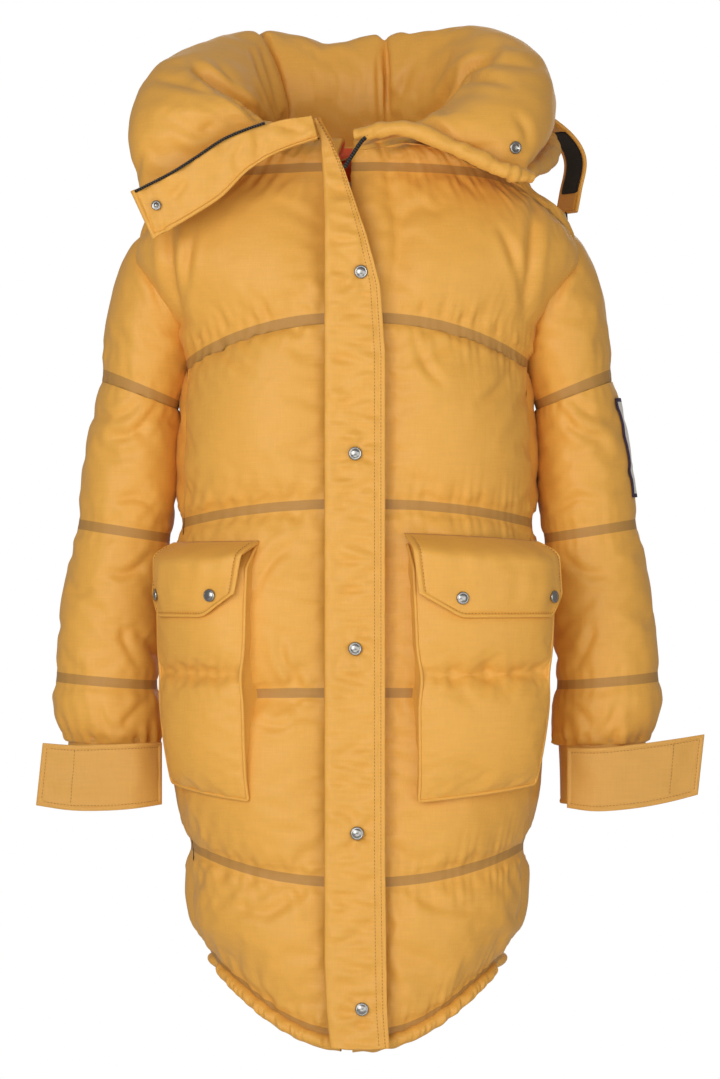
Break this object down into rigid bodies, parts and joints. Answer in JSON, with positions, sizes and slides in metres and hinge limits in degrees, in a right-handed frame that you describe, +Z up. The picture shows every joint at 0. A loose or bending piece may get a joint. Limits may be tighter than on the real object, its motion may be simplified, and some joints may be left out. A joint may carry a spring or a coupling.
{
  "type": "puffer parka",
  "caption": "Long quilted down parka with a wide open collar, snap placket over a front zip, bellows pockets with flaps, and sleeves with strap cuffs.",
  "frame": {"origin": "the top of the hanger loop, at the middle of the back neck seam", "axes": "+Z up the spine, -Y the way the front faces, +X the wearer's left"},
  "size_m": [0.7047, 0.3006, 1.064],
  "materials": {
    "shell": "satin",
    "trim": "matte",
    "lining": "satin",
    "zip": "matte",
    "cord": "matte",
    "hook_and_loop": "matte",
    "metal": "polished",
    "blank_patch": "matte"
  },
  "bodies": {
    "coat_body": {"back_panel": "shell", "back_yoke": "shell", "right_side_panel": "shell", "left_side_panel": "shell", "right_chest_panel": "shell", "left_chest_panel": "shell", "hem_casing_back": "shell", "back_lining": "lining", "yoke_lining": "lining", "neck_band": "shell", "collar_back": "shell", "placket_top": "shell", "hanger_loop": "trim", "neck_label": "blank_patch"},
    "right_front": {"right_front_panel": "shell", "right_front_lining": "lining", "hem_casing_right": "shell", "right_zip_teeth": "zip", "right_zip_tape": "zip", "right_pocket": "shell"},
    "left_front": {"left_front_panel": "shell", "left_front_lining": "lining", "hem_casing_left": "shell", "left_zip_teeth": "zip", "left_zip_tape": "zip", "left_pocket": "shell", "placket_stud_strip": "trim"},
    "placket_flap": {"placket": "shell", "placket_snap_cap_1": "metal", "placket_snap_cap_2": "metal", "placket_snap_cap_3": "metal", "placket_snap_cap_4": "metal", "placket_snap_cap_5": "metal"},
    "slider": {"zip_slider": "metal"},
    "pull": {"zip_pull": "metal"},
    "right_flap": {"right_pocket_flap": "shell", "right_flap_snap_cap_1": "metal", "right_flap_snap_cap_2": "metal"},
    "left_flap": {"left_pocket_flap": "shell", "left_flap_snap_cap_1": "metal", "left_flap_snap_cap_2": "metal"},
    "right_upper_arm": {"right_upper_sleeve": "shell"},
    "right_forearm": {"right_forearm_sleeve": "shell", "right_cuff": "shell"},
    "right_strap": {"right_cuff_strap": "shell"},
    "left_upper_arm": {"left_upper_sleeve": "shell", "sleeve_patch": "blank_patch"},
    "left_forearm": {"left_forearm_sleeve": "shell", "left_cuff": "shell"},
    "left_strap": {"left_cuff_strap": "shell"},
    "right_wing": {"right_collar_wing": "shell", "collar_storm_flap": "shell", "right_collar_zip": "zip", "collar_snap_stud": "metal"},
    "left_wing": {"left_collar_wing": "shell", "left_collar_zip": "zip", "collar_snap_socket": "metal"},
    "tab": {"throat_tab": "trim", "throat_tab_pad": "hook_and_loop", "drawcord": "cord"}
  },
  "joints": [
    {"name": "left_front_swing", "type": "hinge", "parent": "coat_body", "child": "left_front", "pos_m": [0.187, -0.07, -0.5], "axis": [0, 0, 1], "range_deg": [0, 25]},
    {"name": "right_front_swing", "type": "hinge", "parent": "coat_body", "child": "right_front", "pos_m": [-0.187, -0.07, -0.5], "axis": [0, 0, -1], "range_deg": [0, 25], "deforming": ["right_zip_teeth"]},
    {"name": "zip_slide", "type": "slide", "parent": "left_front", "child": "slider", "axis": [0, 0, -1], "range_m": [0, 0.765]},
    {"name": "zip_pull_swing", "type": "hinge", "parent": "slider", "child": "pull", "pos_m": [-0.016, -0.1752, -0.129], "axis": [-1, 0, 0], "range_deg": [0, 8]},
    {"name": "placket_open", "type": "hinge", "parent": "right_front", "child": "placket_flap", "pos_m": [-0.034, -0.1837, -0.5], "axis": [0, 0, -1], "range_deg": [0, 120]},
    {"name": "right_pocket_lift", "type": "hinge", "parent": "right_front", "child": "right_flap", "pos_m": [-0.155, -0.136, -0.404], "axis": [-0.7195, 0.6944, 0], "range_deg": [0, 100]},
    {"name": "left_pocket_lift", "type": "hinge", "parent": "left_front", "child": "left_flap", "pos_m": [0.137, -0.1505, -0.404], "axis": [-0.8396, -0.5432, 0], "range_deg": [0, 100]},
    {"name": "left_arm_raise", "type": "hinge", "parent": "coat_body", "child": "left_upper_arm", "pos_m": [0.204, -0.03, -0.126], "axis": [0, -1, 0], "range_deg": [0, 50]},
    {"name": "right_arm_raise", "type": "hinge", "parent": "coat_body", "child": "right_upper_arm", "pos_m": [-0.204, -0.03, -0.126], "axis": [0, 1, 0], "range_deg": [0, 50]},
    {"name": "right_elbow_bend", "type": "hinge", "parent": "right_upper_arm", "child": "right_forearm", "pos_m": [-0.245, -0.022, -0.4], "axis": [-0.9781, 0.2079, 0], "range_deg": [0, 70]},
    {"name": "left_elbow_bend", "type": "hinge", "parent": "left_upper_arm", "child": "left_forearm", "pos_m": [0.245, -0.022, -0.4], "axis": [-0.9781, -0.2079, 0], "range_deg": [0, 70]},
    {"name": "right_strap_open", "type": "hinge", "parent": "right_forearm", "child": "right_strap", "pos_m": [-0.216, -0.079, -0.657], "axis": [0, 0, 1], "range_deg": [0, 60]},
    {"name": "left_strap_open", "type": "hinge", "parent": "left_forearm", "child": "left_strap", "pos_m": [0.223, -0.087, -0.66], "axis": [0, 0, -1], "range_deg": [0, 60]},
    {"name": "right_collar_lift", "type": "hinge", "parent": "coat_body", "child": "right_wing", "pos_m": [-0.048, -0.09, 0.006], "axis": [0, 1, 0], "range_deg": [0, 35]},
    {"name": "left_collar_lift", "type": "hinge", "parent": "coat_body", "child": "left_wing", "pos_m": [0.02, -0.09, 0.006], "axis": [0, -1, 0], "range_deg": [0, 35]},
    {"name": "throat_tab_swing", "type": "hinge", "parent": "coat_body", "child": "tab", "pos_m": [0.194, 0.027, 0.046], "axis": [0, -1, 0], "range_deg": [0, 60]}
  ],
  "couplings": [
    {"joint": "right_front_swing", "follows": "left_front_swing", "ratio": 1},
    {"joint": "zip_slide", "follows": "left_front_swing", "m_per_rad": 1.75}
  ]
}
